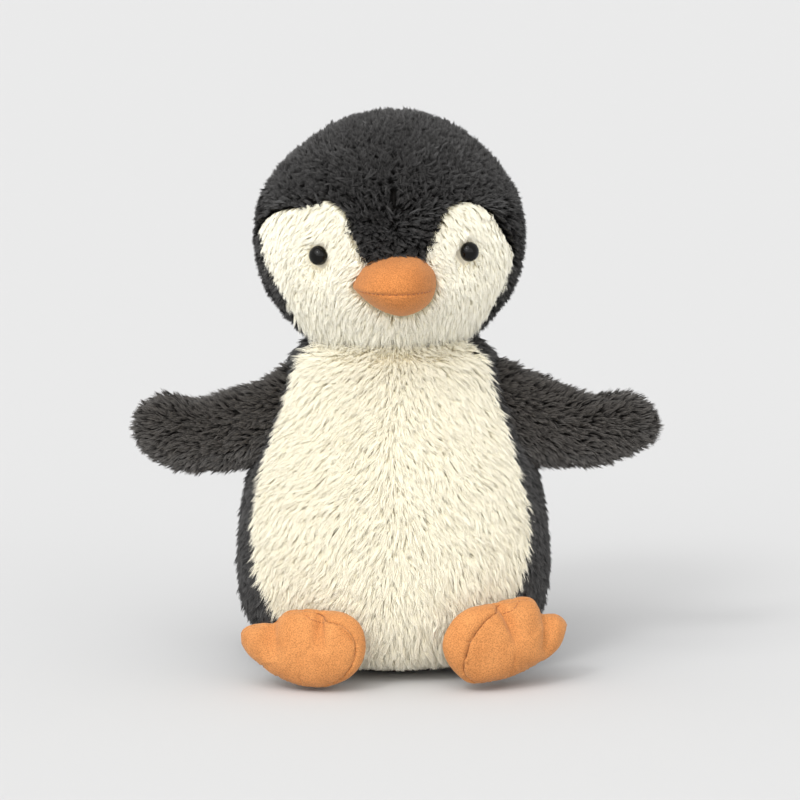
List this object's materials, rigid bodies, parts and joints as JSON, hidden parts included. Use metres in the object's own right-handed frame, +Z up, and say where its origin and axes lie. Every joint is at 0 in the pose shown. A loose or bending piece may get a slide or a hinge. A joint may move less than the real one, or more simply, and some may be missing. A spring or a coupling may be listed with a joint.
{
  "type": "plush penguin",
  "caption": "Seated plush penguin with a round head, a cream face and belly, spread wings, and splayed suede feet and beak.",
  "frame": {"origin": "centre of the flat base panel, on the surface that the toy sits on", "axes": "+Z up, the face and the feet towards -Y, the penguin's own left towards +X"},
  "size_m": [0.2206, 0.1418, 0.23],
  "materials": {
    "white_pile": "long soft pile, cream",
    "black_pile": "long soft pile, brownish black",
    "suede": "short-napped suede cloth, orange",
    "thread": "sewing thread, dark orange",
    "seam_thread": "sewing thread",
    "filling": "loose polyester fibre",
    "eye": "polished black",
    "washer": "moulded, natural white",
    "pouch": "plain woven cotton",
    "pellets": "small plastic pellets",
    "base_cloth": "short pile, brownish black",
    "label": "satin tape, blank"
  },
  "bodies": {
    "torso": {"belly_left": "white_pile", "belly_right": "white_pile", "back_left": "black_pile", "back_right": "black_pile", "base_panel": "base_cloth", "body_filling": "filling", "pellet_pouch": "pouch", "pellets": "pellets", "care_label": "label"},
    "neck": {"neck_filling": "filling"},
    "head": {"face_left": "white_pile", "face_right": "white_pile", "crown_left": "black_pile", "crown_right": "black_pile", "head_filling": "filling", "eye_left": "eye", "eye_right": "eye", "eye_washer_left": "washer", "eye_washer_right": "washer", "beak_upper": "suede", "beak_lower": "suede", "beak_filling": "filling", "beak_stitching": "thread", "neck_seam": "seam_thread"},
    "wing_seam_left": {"wing_seam_left": "seam_thread"},
    "wing_left": {"wing_front_left": "black_pile", "wing_back_left": "black_pile", "wing_filling_left": "filling"},
    "foot_left": {"foot_upper_left": "suede", "foot_sole_left": "suede", "foot_filling_left": "filling", "toe_stitching_left": "thread"},
    "wing_seam_right": {"wing_seam_right": "seam_thread"},
    "wing_right": {"wing_front_right": "black_pile", "wing_back_right": "black_pile", "wing_filling_right": "filling"},
    "foot_right": {"foot_upper_right": "suede", "foot_sole_right": "suede", "foot_filling_right": "filling", "toe_stitching_right": "thread"}
  },
  "joints": [
    {"name": "head_turn", "type": "hinge", "parent": "torso", "child": "neck", "pos_m": [0, 0, 0.137], "axis": [0, 0, 1], "range_deg": [-30, 30], "stiffness_Nm_per_rad": 0.4},
    {"name": "head_nod", "type": "hinge", "parent": "neck", "child": "head", "pos_m": [0, 0, 0.1626], "axis": [1, 0, 0], "range_deg": [-15, 20], "stiffness_Nm_per_rad": 0.9},
    {"name": "wing_left_swing", "type": "hinge", "parent": "torso", "child": "wing_seam_left", "pos_m": [0.0497, -0.008, 0.109], "axis": [0.342, 0, -0.9397], "range_deg": [-25, 35], "stiffness_Nm_per_rad": 0.12},
    {"name": "wing_left_flap", "type": "hinge", "parent": "wing_seam_left", "child": "wing_left", "pos_m": [0.0497, -0.008, 0.109], "axis": [0, -1, 0], "range_deg": [-15, 30], "stiffness_Nm_per_rad": 0.3},
    {"name": "foot_left_flex", "type": "hinge", "parent": "torso", "child": "foot_left", "pos_m": [0.033, -0.0628, 0.0125], "axis": [0.9135, 0.4067, 0], "range_deg": [0, 35], "stiffness_Nm_per_rad": 0.2},
    {"name": "wing_right_swing", "type": "hinge", "parent": "torso", "child": "wing_seam_right", "pos_m": [-0.0497, -0.008, 0.109], "axis": [0.342, 0, 0.9397], "range_deg": [-25, 35], "stiffness_Nm_per_rad": 0.12},
    {"name": "wing_right_flap", "type": "hinge", "parent": "wing_seam_right", "child": "wing_right", "pos_m": [-0.0497, -0.008, 0.109], "axis": [0, 1, 0], "range_deg": [-15, 30], "stiffness_Nm_per_rad": 0.3},
    {"name": "foot_right_flex", "type": "hinge", "parent": "torso", "child": "foot_right", "pos_m": [-0.033, -0.0628, 0.0125], "axis": [0.9135, -0.4067, 0], "range_deg": [0, 35], "stiffness_Nm_per_rad": 0.2}
  ]
}
